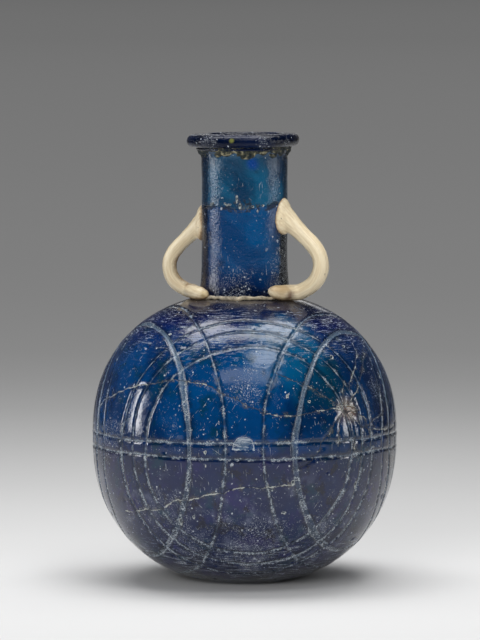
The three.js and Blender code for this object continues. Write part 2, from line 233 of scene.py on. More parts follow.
# Cracks: how much pale dust each holds, and its run of (bearing, latitude) in degrees.
CRACKS = [
    (0.62, [(-74, 12), (-71, 14), (-63, 17), (-57, 19), (-51, 21), (-45, 22), (-38, 23)]),
    (0.30, [(-38, 23), (-30, 25), (-23, 25), (-16, 24), (-7, 20), (1, 16), (8, 13)]),
    (0.5, [(8, 13), (17, 12), (27, 13), (35, 14), (40, 13)]),
    (0.5, [(40, 13), (50, 6), (56, 5), (70, 4), (84, 6), (98, 3)]),
    (0.35, [(14, 28), (20, 25), (26, 23), (33, 18), (39, 15)]),
    (0.5, [(42, 15), (47, 18), (51, 21)]),
    (0.5, [(46, 22), (51, 27), (56, 31), (60, 34), (62, 38)]),
    (0.3, [(54, 24), (60, 29), (69, 35)]),
    (0.25, [(39, 12), (35, 8), (30, 2), (26, -4), (21, -7)]),
    (0.45, [(50, 6), (56, 8), (65, 10)]),
    (0.35, [(41, 13), (45, 8), (46, 3), (45, -1)]),
    (0.4, [(41, 13), (48, 12), (52, 9), (54, 3)]),
    (0.4, [(40, 13), (38, 9), (37, 4), (37, 1)]),
    (0.5, [(39, 15), (44, 15), (48, 13)]),
    (0.4, [(40, 14), (41, 19), (43, 23)]),
    (0.65, [(-56, -26), (-51, -26), (-43, -24), (-35, -24), (-28, -20)]),
    (0.6, [(-28, -20), (-21, -19), (-15, -17), (-8, -16), (-2, -14), (7, -14), (18, -13)]),
]
CRACK_DEPTH = 0.16

# Chips: (bearing, latitude, half width, half height). The large one is a dome with a flat lower side.
SHELL_CHIP = (-0.4, -0.2, 3.7, 4.5)
SHELL_DEPTH = 0.5
NICK_DEPTH = 0.35
NICKS = [
    (16.6, 19.2, 0.45, 0.80), (25.4, 17.0, 0.5, 0.5), (41.6, 33.6, 0.8, 0.7), (53.2, 37.7, 0.8, 0.5),
    (71.3, 24.1, 0.5, 1.3), (-42.1, 44.4, 0.8, 0.5), (-14.5, -1.3, 0.5, 0.75), (-14.2, -6.4, 0.3, 0.8),
    (-20.6, -26.0, 0.5, 0.8), (-27.0, -28.5, 0.6, 1.4), (15.6, -24.1, 1.0, 0.4), (18.4, -12.6, 0.5, 1.3),
    (47.2, -15.1, 0.6, 1.3), (-46, -24.5, 0.8, 0.5), (96, -12, 0.8, 0.6), (112, 25, 0.6, 0.9),
    (143, -20, 0.9, 0.5), (168, 12, 0.6, 0.6), (-152, 31, 0.9, 0.5), (-131, -8, 0.6, 1.1),
    (-96, 22, 0.7, 0.7), (-84, -30, 1.0, 0.5), (127, 5, 0.5, 0.8),
]

# Pits where bubbles burst or chips fell out, and how far the blown skin swells and lies inside the globe.
PITS = 260
PIT_SEED = 7
PIT_RADII = (0.5, 1.4)
PIT_STEEPNESS = 0.3
SWELL = 0.5
SKIN_INSET = 0.18

# Vector noise bends the cracks and roughens soil. It has a seed, so that it is the same in each run.
NOISE_SEED = 1795674627
noise.seed_set(NOISE_SEED)


def around(bearing, radius, height):
    """Points at bearings in degrees, from the front towards the right, in millimetres."""
    turn = np.radians(bearing)
    points = np.empty((*np.broadcast(turn, radius, height).shape, 3))
    points[..., 0] = radius * np.sin(turn)
    points[..., 1] = -radius * np.cos(turn)
    points[..., 2] = height
    return points


def outward(bearing, latitude):
    """Directions from the globe's middle."""
    return around(bearing, np.cos(np.radians(latitude)), np.sin(np.radians(latitude)))


def length_along(line):
    return np.append(0, np.cumsum(np.linalg.norm(np.diff(line, axis=0), axis=1)))


def resampled(line, count):
    """Evenly spaced points along a line, as one array for each axis."""
    line = np.array(line, dtype=float)
    run = length_along(line)
    return np.array([np.interp(np.linspace(0, run[-1], count), run, axis) for axis in line.T])


def section(low, high, count, offset=0.0):
    """Evenly spaced (radius, height) points of the globe's section between two angles."""
    angle = np.linspace(low, high, 20 * count)
    power = 2 / SQUARENESS
    reach = np.where(angle < 0, BELLY_DROP, SHOULDER_RISE) + offset
    radius = (GLOBE_RADIUS + offset) * np.cos(angle) ** power
    height = EQUATOR + np.sign(angle) * reach * np.abs(np.sin(angle)) ** power
    return resampled(np.column_stack([radius, height]), count)


def shoulder_angle(radius, offset=0.0):
    return math.acos((radius / (GLOBE_RADIUS + offset)) ** (SQUARENESS / 2))


def belly_angle(height, offset=0.0):
    return -math.asin(((EQUATOR - height) / (BELLY_DROP + offset)) ** (SQUARENESS / 2))


def shoulder_height(radius):
    return EQUATOR + SHOULDER_RISE * (1 - (radius / GLOBE_RADIUS) ** SQUARENESS) ** (1 / SQUARENESS)


def bearings(count):
    return np.arange(count) * 360 / count


def lumps(points, *waves, start=(0, 0, 0)):
    """A smooth uneven value at each point, the sum of waves of (scale, amount)."""
    points = [Vector(point) for point in np.reshape(points, (-1, 3))]
    total = np.zeros(len(points))
    for scale, amount in waves:
        total += [amount * noise.noise(point * scale + Vector(start)) for point in points]
    return total


def loop_faces(rows, columns, closed=True):
    """Quads of a grid whose columns close on themselves, and whose last row joins the first if closed."""
    grid = np.arange(rows * columns).reshape(rows, columns)
    if closed:
        grid = np.vstack([grid, grid[:1]])
    beside = np.roll(grid, -1, axis=1)
    return np.stack([grid[:-1], beside[:-1], beside[1:], grid[1:]], axis=-1).reshape(-1, 4)


def make_piece(name, points, faces, material, node=None, values=None):
    """A smooth mesh object in the flask's frame, from points in millimetres, that stands for a node."""
    mesh = bpy.data.meshes.new(name)
    corners = np.asarray(faces, dtype=np.int32)
    mesh.vertices.add(len(points))
    mesh.vertices.foreach_set("co", (np.asarray(points) * MM).astype(np.float32).ravel())
    mesh.loops.add(corners.size)
    mesh.loops.foreach_set("vertex_index", corners.ravel())
    mesh.polygons.add(len(corners))
    mesh.polygons.foreach_set("loop_start", np.arange(len(corners), dtype=np.int32) * corners.shape[1])
    mesh.update(calc_edges=True)
    for key, numbers in (values or {}).items():
        layer = mesh.attributes.new(key, "FLOAT", "POINT")
        layer.data.foreach_set("value", np.asarray(numbers, dtype=np.float32))
    mesh.shade_smooth()
    mesh.materials.append(material)
    made = bpy.data.objects.new(name, mesh)
    bpy.context.scene.collection.objects.link(made)
    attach(made, "root")
    if node:
        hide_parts(node)


def rise(value, low, high):
    """0 below low and 1 above high, smooth between; downwards if low is the higher."""
    if low < high:
        return ramp(value, low, high, way="SMOOTHSTEP")
    return ramp(value, high, low, 1.0, 0.0, way="SMOOTHSTEP")


def both(*masks):
    """The product of masks and numbers."""
    return reduce(partial(calc, "MULTIPLY"), masks)


def either(*masks):
    """The greatest of masks."""
    return reduce(partial(calc, "MAXIMUM"), masks)


def plus(value, mask, amount):
    """A value raised by a mask times an amount."""
    return calc("MULTIPLY_ADD", mask, amount, value)


def swayed(value, noise_value, amount):
    """A value moved up and down by a noise, by half of `amount` at most."""
    return plus(value, calc("SUBTRACT", noise_value, 0.5), amount)


def tint(under, over, mask, strength=1.0):
    """The colour `over` laid on the colour `under` where a mask is 1."""
    under, over = (tone if isinstance(tone, bpy.types.NodeSocket) else (*tone, 1) for tone in (under, over))
    inputs = {0: both(mask, strength), 6: under, 7: over}
    return add("ShaderNodeMix", inputs, data_type="RGBA").outputs[2]


def stretched(where, scale):
    return add("ShaderNodeVectorMath", {0: where, 1: scale}, operation="MULTIPLY").outputs[0]


def attribute(tree, name):
    made = tree.nodes.new("ShaderNodeAttribute")
    made.attribute_name = name
    return made.outputs["Fac"]


def grain(where, size, detail=2.0, roughness=0.5, distortion=0.0, seed=0.0):
    """A noise from 0 to 1 with features about `size` millimetres wide."""
    inputs = {"Vector": where, "Scale": 1 / (size * MM), "Detail": detail, "Roughness": roughness}
    inputs |= {"Distortion": distortion, "W": seed}
    return add("ShaderNodeTexNoise", inputs, noise_dimensions="4D").outputs[0]


def specks(where, size, spacing, share, ragged=0.3):
    """A mask of separate specks, some faint, in `share` of a pattern's cells, each up to `size` across."""
    moved = add("ShaderNodeTexNoise", {"Vector": where, "Scale": 2 / (size * MM), "Detail": 1.0})
    push = {0: moved.outputs["Color"], 1: (ragged * size * MM,) * 3, 2: where}
    pushed = add("ShaderNodeVectorMath", push, operation="MULTIPLY_ADD").outputs[0]
    cells = add("ShaderNodeTexVoronoi", {"Vector": pushed, "Scale": 1 / (spacing * MM)}).outputs
    here, reach, strength = add("ShaderNodeSeparateColor", {0: cells["Color"]}).outputs
    width = size / spacing
    near = calc("SUBTRACT", both(reach, width / 2), cells["Distance"])
    shown = both(calc("LESS_THAN", here, share), rise(near, -0.05 * width, 0.12 * width))
    return both(shown, calc("MULTIPLY_ADD", strength, 0.7, 0.3))


def closeness(where, at, inner, outer, fray):
    """1 within `inner` millimetres of a point and 0 beyond `outer`, with an edge that a noise frays."""
    off = add("ShaderNodeVectorMath", {0: where, 1: Vector(at) * MM}, operation="DISTANCE").outputs["Value"]
    return rise(swayed(off, fray, 1.2 * outer * MM), outer * MM, inner * MM)


def scratches(where, turn, length, width, share):
    """A mask of short straight scratches, all lying the way that `turn` (in degrees) gives them."""
    laid = {0: where, 2: Vector(map(math.radians, turn)), 3: (length * MM, width * MM, width * MM)}
    place = add("ShaderNodeMapping", laid, vector_type="TEXTURE").outputs[0]
    value = add("ShaderNodeTexNoise", {"Vector": place, "Scale": 1.0, "Detail": 1.0}).outputs[0]
    return rise(value, 0.78 - share, 0.83 - share)


def line_distance(tree, cut):
    """How many millimetres a spot is from the middle of the nearest wheel-cut line of one kind."""
    nearest = 9.0
    families = [(f"ring_{number}", MM_PER_DEGREE, circles) for number, (*_, circles) in enumerate(MEDALLIONS)]
    for name, scale, lines in [*families, ("level", 1.0, WAIST_LINES)]:
        value = attribute(tree, name)
        for stand, kind in lines:
            if kind == cut:
                off = calc("ABSOLUTE", calc("SUBTRACT", value, stand))
                nearest = calc("MINIMUM", nearest, both(off, scale))
    return nearest


def finish(colour, rough, relief, gloss, strength=1.0):
    """The surface, with a relief in millimetres and the sockets that are the same all over."""
    lift = add("ShaderNodeBump", {"Height": both(relief, MM), "Distance": 1.0, "Strength": strength})
    look = {"Base Color": colour, "Roughness": rough, "Normal": lift.outputs[0], **gloss}
    surface = add("ShaderNodeBsdfPrincipled", look)
    add("ShaderNodeOutputMaterial", {"Surface": surface.outputs[0]})


DEEPEST_BLUE = (0.0004, 0.005, 0.022)
PALE_DUST_AND_HIGHLIGHT = (0.56, 0.61, 0.65)
PALE_LINE = (0.26, 0.34, 0.42)
GROUND_BLUE = (0.115, 0.170, 0.235)
CRACK_AND_SHADE_DARK = (0.001, 0.006, 0.018)
CRACK_DUST = (0.50, 0.52, 0.48)
CRACK_SOIL = (0.15, 0.13, 0.08)
CHIP_SHADE = (0.02, 0.035, 0.05)
CHIP_EDGE = (0.50, 0.53, 0.50)
SHELL_BLUE = (0.10, 0.17, 0.27)
SCRATCH_WAYS = [((0, 35, 0), 8), ((0, -55, 10), 7), ((0, 85, 30), 9)]
SCRATCH_WIDTH = 0.34


def glass_tone(where, height, deep, clear, spots, zones, clouds, painted_shade_bands):
    """Blue by the depth of the glass, with level zones, spots, clouds of other tones, and streams: painted
    shade in upright bands.
    """
    cloud = grain(where, 8, detail=3)
    depth = rise(grain(where, 15, detail=4, distortion=0.6), 0.40, 0.62)
    colour = tint(deep, clear, depth)
    level = swayed(height, cloud, 8 * MM)
    for start, end, shade, strength in zones:
        colour = tint(colour, shade, rise(level, start * MM, end * MM), strength)
    for at, inner, outer, shade, strength in spots:
        colour = tint(colour, shade, closeness(where, at, inner, outer, cloud), strength)
    # Streams: painted shade, upright bands of darker tone at every height, for the dark sides of the neck.
    flat = stretched(where, (1, 1, 0))
    fray = grain(where, 4, detail=4, roughness=0.6)
    for at, inner, outer, shade, strength in painted_shade_bands:
        colour = tint(colour, shade, closeness(flat, (*at, 0), inner, outer, fray), strength)
    dark = rise(grain(where, 5, detail=5, roughness=0.6), 0.54, 0.72)
    colour = tint(colour, DEEPEST_BLUE, dark, 0.45)
    for seed, size, low, below, shade, strength in clouds:
        patch = rise(grain(where, size, detail=5, roughness=0.62, seed=seed), low, low + 0.14)
        under = rise(height, (below + 5) * MM, (below - 5) * MM)
        colour = tint(colour, shade, both(patch, under), strength)
    return colour


def wear_mask(where, height, grit, weather, worn_spots, streaks):
    """What age did to the skin: specks, granular bloom, short scratches and level streaks, as one mask. A
    band of streaks can also be a painted highlight.
    """
    mottle = grain(where, 2.2, detail=5, roughness=0.65)
    thick = rise(grain(where, 7, detail=4, roughness=0.6), 0.44, 0.66)
    for at, inner, outer in worn_spots:
        thick = plus(thick, closeness(where, at, inner, outer, mottle), 1.3)
    fine = specks(where, 0.72, 1.30, plus(0.13, thick, 0.42 * weather), ragged=0.5)
    coarse = specks(where, 1.25, 3.8, plus(0.13, thick, 0.40 * weather), ragged=1.0)
    bloom = both(rise(grit, 0.52, 0.66), rise(thick, 0.7, 1.6), 0.75)
    worn_and_highlit = either(fine, coarse, bloom)
    kept = both(rise(mottle, 0.42, 0.60), 0.7)
    for turn, length in SCRATCH_WAYS:
        line = scratches(where, turn, length, SCRATCH_WIDTH, 0.075 * weather)
        worn_and_highlit = either(worn_and_highlit, both(line, kept))
    flat = stretched(where, (1, 1, 0))
    radius = add("ShaderNodeVectorMath", {0: flat}, operation="LENGTH").outputs["Value"]
    patch = rise(grain(where, 8, detail=4, roughness=0.6, seed=3.0), 0.36, 0.56)
    for start, full, fade, lean in streaks:
        slope = add("ShaderNodeCombineXYZ", {2: plus(height, radius, lean)}).outputs[0]
        laid = {0: flat, 1: (0.13, 0.13, 0.0), 2: slope}
        laid = add("ShaderNodeVectorMath", laid, operation="MULTIPLY_ADD").outputs[0]
        line = rise(grain(laid, 0.62, detail=3, roughness=0.65), 0.54, 0.63)
        band = both(rise(height, start * MM, full * MM), rise(height, (fade + 3) * MM, fade * MM))
        worn_and_highlit = either(worn_and_highlit, both(line, band, patch, rise(grit, 0.38, 0.54), 0.90))
    return worn_and_highlit


def with_cut_lines(tree, height, noises, colour, rough, relief):
    """Wheel-cut lines: broad dull ones with pale edges, fine pale ones, painted shade along their flanks, and
    white flakes.
    """
    mottle, tooth, grit, stroke = noises
    broad = swayed(swayed(line_distance(tree, BROAD), tooth, 0.35), grit, 0.25)
    fine = swayed(swayed(line_distance(tree, FINE), tooth, 0.25), grit, 0.20)
    # Painted shade: a dark flank beside the lines, broken by the mottle.
    beside = calc("MINIMUM", calc("SUBTRACT", broad, 0.5), fine)
    painted_flank_shade = both(rise(beside, 2.0, 0.5), rise(mottle, 0.33, 0.52))
    colour = tint(colour, CRACK_AND_SHADE_DARK, painted_flank_shade, 0.55)
    inside = rise(broad, 0.80, 0.55)
    upper = calc("MULTIPLY_ADD", rise(height, 40 * MM, 62 * MM), 0.60, 0.35)
    colour = tint(colour, GROUND_BLUE, both(inside, rise(grit, 0.30, 0.62), upper))
    edge = both(rise(broad, 0.42, 0.60), rise(broad, 0.90, 0.72), 0.75)
    core = rise(fine, 0.34, 0.12)
    shown = calc("MULTIPLY_ADD", rise(stroke, 0.42, 0.58), 0.80, 0.15)
    colour = tint(colour, PALE_LINE, both(either(edge, core), shown), 0.60)
    near = calc("MINIMUM", calc("SUBTRACT", broad, 0.4), fine)
    lower = swayed(stroke, rise(height, 62 * MM, 30 * MM), 0.10)
    flaked = both(rise(near, 0.90, 0.25), rise(lower, 0.49, 0.58), rise(grit, 0.47, 0.57))
    colour = tint(colour, PALE_DUST_AND_HIGHLIGHT, flaked, 0.8)
    rough = either(rough, both(inside, 0.22), both(flaked, 0.55))
    fine_cut = calc("MAXIMUM", calc("SUBTRACT", 0.45, fine), 0.0)
    broad_cut = calc("MAXIMUM", calc("SUBTRACT", 0.9, both(broad, broad)), 0.0)
    for mask, depth in [(fine_cut, 0.25), (broad_cut, 0.20), (flaked, 0.12)]:
        relief = plus(relief, mask, -depth)
    return colour, rough, relief


def with_cracks(tree, noises, colour, rough, relief):
    """Old cracks, dark or full of pale dust, with soil beside them, and chips with a pale edge."""
    mottle, tooth, grit, stroke = noises
    dust = attribute(tree, "dust")
    crack = attribute(tree, "crack")
    off = calc("ABSOLUTE", swayed(swayed(attribute(tree, "side"), tooth, 0.8), mottle, 0.7))
    line = rise(plus(off, dust, -0.11), 0.17, 0.02)
    split = both(line, rise(crack, 1.3, 0.8), rise(grit, 0.33, 0.48))
    marked = both(rise(crack, 1.6, 0.2), rise(stroke, 0.50, 0.60), rise(grit, 0.44, 0.56))
    colour = tint(colour, CRACK_SOIL, marked, 0.65)
    filling = tint(CRACK_AND_SHADE_DARK, CRACK_DUST, rise(swayed(dust, stroke, 2.2), 0.40, 0.68))
    colour = tint(colour, filling, split, 0.85)
    chip = swayed(swayed(attribute(tree, "chip"), tooth, 0.70), grit, 0.5)
    inside = rise(chip, 0.0, 0.12)
    pale = both(inside, rise(chip, 0.42, 0.22))
    colour = tint(colour, CHIP_SHADE, inside, 0.8)
    colour = tint(colour, CHIP_EDGE, pale, 0.8)
    rough = either(rough, both(either(split, pale), 0.6))
    return colour, rough, plus(relief, split, -0.10)


def with_shell_chip(tree, where, noises, colour):
    """The large chip, duller inside, with a pale lip and level strokes where the glass scaled off."""
    mottle, tooth, _, stroke = noises
    shell = swayed(swayed(attribute(tree, "shell"), tooth, 1.0), mottle, 1.6)
    inside = rise(shell, 0.0, 0.25)
    colour = tint(colour, SHELL_BLUE, both(inside, rise(mottle, 0.30, 0.55)), 0.6)
    lip = both(inside, rise(shell, 0.65, 0.35), rise(stroke, 0.40, 0.54))
    level = grain(stretched(where, (0.25, 0.25, 1.6)), 1.0, detail=3, roughness=0.6)
    strokes = both(inside, rise(level, 0.50, 0.60), 0.8)
    return tint(colour, PALE_DUST_AND_HIGHLIGHT, either(lip, strokes), 0.75)


def cobalt_glass(
    name, deep, clear, spots=(), zones=(), clouds=(), painted_shade_bands=(), worn_spots=(), streaks=(), weather=1.0,
    gloss=0.05, dimple=0.02, shine=0.5, cut=False, cracked=True,
):
    """Cobalt-blue glass: its tone, its wear (a band of streaks can be a painted highlight), and on pieces
    with their fields the cut lines, cracks and chips.

    A spot is (place, inner, outer, colour, strength), a stream the same at every height, which is painted
    shade in an upright band, a zone (start, end, colour, strength) by height, a cloud (seed, size, threshold,
    highest place, colour, strength), and a band of streaks (start, full, fade, lean) by height, all in
    millimetres."""
    made, tree = new_material(name)
    where = tree.nodes.new("ShaderNodeTexCoord").outputs["Object"]
    height = add("ShaderNodeSeparateXYZ", {0: where}).outputs[2]
    mottle = grain(where, 2.2)
    tooth = grain(where, 0.7, roughness=0.6)
    grit = grain(where, 0.42, detail=3, roughness=0.7)
    stroke = grain(where, 2.6, detail=3, roughness=0.6, seed=5.0)
    noises = mottle, tooth, grit, stroke
    worn_and_highlit = wear_mask(where, height, grit, weather, worn_spots, streaks)
    colour = glass_tone(where, height, deep, clear, spots, zones, clouds, painted_shade_bands)
    colour = tint(colour, PALE_DUST_AND_HIGHLIGHT, worn_and_highlit, 0.85)
    rough = either(plus(gloss - 0.025, mottle, 0.05), both(worn_and_highlit, 0.5))
    relief = both(worn_and_highlit, -0.10)
    for pattern, depth in [(mottle, 0.05), (grit, 0.4 * dimple), (tooth, dimple)]:
        relief = plus(relief, pattern, depth)
    if cut:
        colour, rough, relief = with_cut_lines(tree, height, noises, colour, rough, relief)
    if cracked:
        colour, rough, relief = with_cracks(tree, noises, colour, rough, relief)
    if cut:
        colour = with_shell_chip(tree, where, noises, colour)
    finish(colour, rough, relief, {"IOR": 1.52, "Specular IOR Level": shine})
    return made


def chip_depth(points, middle, outwards, wide, tall):
    """How far inside a chip's oval outline points are, steeper above, and less than 0 outside it."""
    off = points - middle
    sideways = around(90 + math.degrees(math.atan2(outwards[0], -outwards[1])), 1.0, 0.0)
    up = off @ np.cross(outwards, sideways)
    spread = np.hypot(off @ sideways / wide, up / tall)
    near = np.linalg.norm(off, axis=1) < 2 * max(wide, tall) + 1
    steep = np.where((spread < 1) & (up > 0), 3.0, 1.0)
    return np.where(near, (1 - spread) * steep * min(wide, tall), -9.0)


def nearest(points, marks):
    """The number of the mark that is nearest to each point."""
    tree = KDTree(len(marks))
    for index, mark in enumerate(marks):
        tree.insert(mark, index)
    tree.balance()
    return np.array([tree.find(point)[1] for point in points])


def crack_fields(points, runs):
    """How far each point is from the nearest run, how far to one side of it (or minus), and its number."""
    marks, sides, numbers = [], [], []
    for number, run in enumerate(runs):
        for start, end in zip(run[:-1], run[1:]):
            ahead = end - start
            across = np.cross(ahead, start + end)
            across /= np.linalg.norm(across)
            for share in np.linspace(0, 1, 2 + int(np.linalg.norm(ahead) / 0.3)):
                mark = Vector(start + ahead * share)
                mark += noise.noise_vector(mark * 0.3) * 0.5 + noise.noise_vector(mark * 1.3) * 0.15
                marks.append(mark)
                sides.append(across)
                numbers.append(number)
    found = nearest(points, marks)
    off = points - np.array(marks)[found]
    side = np.einsum("ij,ij->i", off, np.array(sides)[found])
    return np.linalg.norm(off, axis=1), side, np.array(numbers)[found]


def ground(value, lines, scale):
    """How deep the wheel went where a field of degrees or millimetres comes near the lines' own values."""
    cuts = []
    for stand, (width, depth) in lines:
        cuts.append(depth * np.clip(1 - ((value - stand) * 2 * scale / width) ** 2, 0, 1))
    return cuts


bearing = bearings(GLOBE_COLUMNS)
radii, heights = section(belly_angle(0), shoulder_angle(NECK_FOOT_RADIUS - 0.4), GLOBE_ROWS)
skin = around(bearing, radii[:, None], heights[:, None]).reshape(-1, 3)
ray = skin - (0, 0, EQUATOR)
ray /= np.linalg.norm(ray, axis=1, keepdims=True)
ball = ray * GLOBE_RADIUS
turn_about = np.arctan2(ray[:, 0], -ray[:, 1])

fields = {}
sunk = np.zeros(len(ray))
for number, (centre, latitude, circles) in enumerate(MEDALLIONS):
    spread = np.degrees(np.arccos(np.clip(ray @ outward(centre, latitude), -1, 1)))
    turn = np.arctan2(ray[:, 2], ray @ outward(centre + 90, 0.0))
    phase = 1.7 * number + 0.33 * spread
    waves = np.sin(2 * turn + phase) + 0.7 * np.sin(5 * turn + 2 * phase) + 0.3 * np.sin(13 * turn + phase)
    spread -= WAVER * waves
    fields[f"ring_{number}"] = spread
    sunk = np.maximum.reduce([sunk, *ground(spread, circles, MM_PER_DEGREE)])
level = skin[:, 2] - EQUATOR
fields["level"] = level - 0.25 * np.sin(3 * turn_about + 0.6 * level) - 0.12 * np.sin(11 * turn_about + level)
sunk = np.maximum.reduce([sunk, *ground(fields["level"], WAIST_LINES, 1.0)])

runs = [outward(*np.transpose(np.array(run, dtype=float))) * GLOBE_RADIUS for _, run in CRACKS]
fields["crack"], fields["side"], nearest_run = crack_fields(ball, runs)
fields["dust"] = np.array([strength for strength, _ in CRACKS])[nearest_run]
sunk += CRACK_DEPTH * np.clip(1 - fields["crack"] / 0.8, 0, 1)

at, latitude, wide, tall = SHELL_CHIP
way = outward(at, latitude)
flat_side = level - GLOBE_RADIUS * math.sin(math.radians(latitude))
fields["shell"] = np.minimum(chip_depth(ball, way * GLOBE_RADIUS, way, wide, tall), flat_side)
sunk += SHELL_DEPTH * np.clip(fields["shell"] / 2, 0, 1)
fields["chip"] = np.full(len(ray), -9.0)
for at, latitude, wide, tall in NICKS:
    way = outward(at, latitude)
    fields["chip"] = np.maximum(fields["chip"], chip_depth(ball, way * GLOBE_RADIUS, way, wide, tall))
sunk += NICK_DEPTH * np.clip(fields["chip"] / 0.5, 0, 1)

chance = np.random.default_rng(PIT_SEED)
for _ in range(PITS):
    way = chance.normal(size=3)
    way /= np.linalg.norm(way)
    wide = PIT_RADII[0] + (PIT_RADII[1] - PIT_RADII[0]) * chance.random() ** 2
    off = np.linalg.norm(ray - way, axis=1) * GLOBE_RADIUS / wide
    sunk += PIT_STEEPNESS * wide * np.clip(1 - off**2, 0, 1)

calm = np.clip((skin[:, 2] - 1.5) / 8, 0, 1)
swell = SWELL * lumps(ray, (2.2, 0.35), (7, 0.08))
outer = skin - ray * (np.clip(sunk, 0, 0.9) + (SKIN_INSET - swell) * calm)[:, None]
outer[:, 2] = np.maximum(outer[:, 2], 0.0)

inner_mouth = NECK_FOOT_RADIUS - NECK_WALL
inner_floor = KICK_HEIGHT + BASE_THICKNESS
inner_ends = belly_angle(inner_floor, -GLOBE_WALL), shoulder_angle(inner_mouth, -GLOBE_WALL)
inside = section(*inner_ends, INSIDE_ROWS, -GLOBE_WALL).T[::-1]
kick = [
    (0.02, KICK_HEIGHT), (KICK_RADIUS * 0.6, KICK_HEIGHT * 0.7), (KICK_RADIUS, 0.12), (KICK_RADIUS + 0.7, 0),
]
cavity = [(inner_mouth, heights[-1] + 0.2), *inside, (0.02, inner_floor)]
start, end = (np.vstack([around(bearing, *ring) for ring in rings]) for rings in (kick, cavity))
points = np.vstack([start, outer, end])
faces = loop_faces(len(points) // GLOBE_COLUMNS, GLOBE_COLUMNS, closed=False)
fields = {key: np.pad(value, (len(start), len(end)), constant_values=99.0) for key, value in fields.items()}
globe_glass = cobalt_glass(
    "globe_glass",
    dimple=0.03,
    deep=(0.0003, 0.018, 0.080),
    clear=(0.0004, 0.040, 0.150),
    spots=[
        ((31, -38, 60), 8, 27, (0.0004, 0.017, 0.058), 0.55),
        # The bright teal spot high on the right is painted light, as if shining through the glass from
        # behind.
        ((13, -36, 78), 5, 20, (0.001, 0.095, 0.21), 0.65),
        ((24, -36, 66), 3, 12, (0.0008, 0.035, 0.060), 0.7),
        ((-8, -42, 66), 4, 26, (0.0005, 0.060, 0.20), 0.6),
        ((33, -36.7, 59), 0.8, 6.0, (0.17, 0.105, 0.06), 0.9),
        ((47, -14, 44), 3, 15, (0.012, 0.009, 0.012), 0.75),
        ((45, -16, 67), 6, 19, (0.0004, 0.008, 0.040), 0.75),
    ],
    zones=[
        # The first zone makes the globe darker and more violet below its waist, and the last makes its bottom
        # near black: painted shade.
        (50, 42, (0.004, 0.008, 0.045), 0.85),
        (76, 87, (0.0010, 0.005, 0.070), 0.80),
        (85, 92, (0.0006, 0.004, 0.022), 0.80),
        (90.8, 94.2, (0.13, 0.11, 0.085), 0.8),
        (8, 2, (0.0005, 0.0015, 0.008), 0.8),
    ],
    clouds=[
        (11.0, 9, 0.50, 46, (0.013, 0.010, 0.085), 0.75),
        (12.0, 8, 0.52, 90, (0.0015, 0.030, 0.055), 0.70),
        (13.0, 7, 0.51, 38, (0.095, 0.110, 0.170), 0.55),
        (14.0, 6, 0.53, 46, (0.005, 0.005, 0.014), 0.80),
    ],
    # The first band of streaks, round the shoulder, lies where the overhead lamp's highlight falls:
    # scratches, and a painted highlight.
    streaks=[(72, 84, 89, -1.0), (20, 11, 40, 1.0)],
    worn_spots=[
        ((33, -36.7, 59), 0.5, 5), ((4, -40, 18), 4, 19), ((-16, -37, 17), 3, 11), ((25, -36, 22), 2, 10),
        ((0, -44, 66), 3, 11), ((-44, -25, 50), 2, 13), ((49, -12, 44), 2, 14), ((-24, -38, 28), 2, 12),
        ((44, -22, 66), 1, 8),
    ],
    cut=True,
)
make_piece("blown_globe", points, faces, globe_glass, "globe", values=fields)

# The neck: a tube of the same glass, drawn up from the globe, a little wider at its foot and under the rim.
# It broke across half way up and was rejoined, so its two parts meet on a ragged line with white chips.
SEAT_GAP = 0.3
NECK_RADIUS = 14.3
NECK_FOOT = globe_high.z / MM + SEAT_GAP
NECK_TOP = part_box("neck_upper")[1].z / MM
FOOT_OVERLAP = 0.9
TOP_OVERLAP = 0.25
FOOT_FLARE = 1.0
FOOT_FLARE_LENGTH = 11
TOP_FLARE = 0.8
TOP_FLARE_LENGTH = 2.4
NECK_COLUMNS = 300
LOWER_ROWS = 150
UPPER_ROWS = 100

# The break and the cracks that leave it, by (bearing, height), and its chips, by half width and height too.
BREAK_LINE = [
    (-180, 124.6), (-140, 123.4), (-100, 124.2), (-60, 123.9), (-30, 124.1), (-16, 123.5), (-6, 123.2),
    (8, 123.4), (24, 124.0), (44, 124.7), (62, 125.0), (80, 124.4), (120, 123.2), (150, 124.0), (180, 124.6),
]
BREAK_SPURS = [
    [(-11, 126.0), (-6, 125.4), (2, 125.3), (9, 125.8)],
    [(-120, 123.8), (-116, 127.0), (-122, 129.4)],
    [(140, 123.8), (137, 120.0), (143, 116.8)],
]
BREAK_GAP = 0.03
BEVEL = 0.10
BEVEL_WIDTH = 0.35
BREAK_DUST = 0.25
BREAK_CHIPS = [
    (-27.0, 125.1, 0.6, 0.28), (-23.5, 124.65, 1.0, 0.30), (-19.6, 124.85, 0.6, 0.28),
    (-10.3, 126.5, 0.34, 1.5), (-6.2, 124.3, 0.42, 1.0), (10.5, 124.2, 0.5, 0.4), (17.5, 122.5, 0.25, 1.0),
    (25, 124.5, 0.5, 0.35), (-118, 124.2, 1.6, 0.8), (138, 123.6, 1.4, 0.7),
]
BREAK_CHIP_DEPTH = 0.5
NECK_INSET = 0.08


def neck_radius(height):
    foot = np.clip(1 - (height - NECK_FOOT) / FOOT_FLARE_LENGTH, 0, None)
    top = np.clip(1 - (NECK_TOP - height) / TOP_FLARE_LENGTH, 0, None)
    return NECK_RADIUS + FOOT_FLARE * foot**2 + TOP_FLARE * top**2


def break_height(bearing):
    wrapped = (bearing + 180) % 360 - 180
    return np.interp(wrapped, *np.transpose(BREAK_LINE)) + lumps(outward(wrapped, 0.0), (6, 0.35), (17, 0.18))


def on_neck(run):
    bearing, height = np.transpose(np.array(run, dtype=float))
    return around(bearing, neck_radius(height), height)


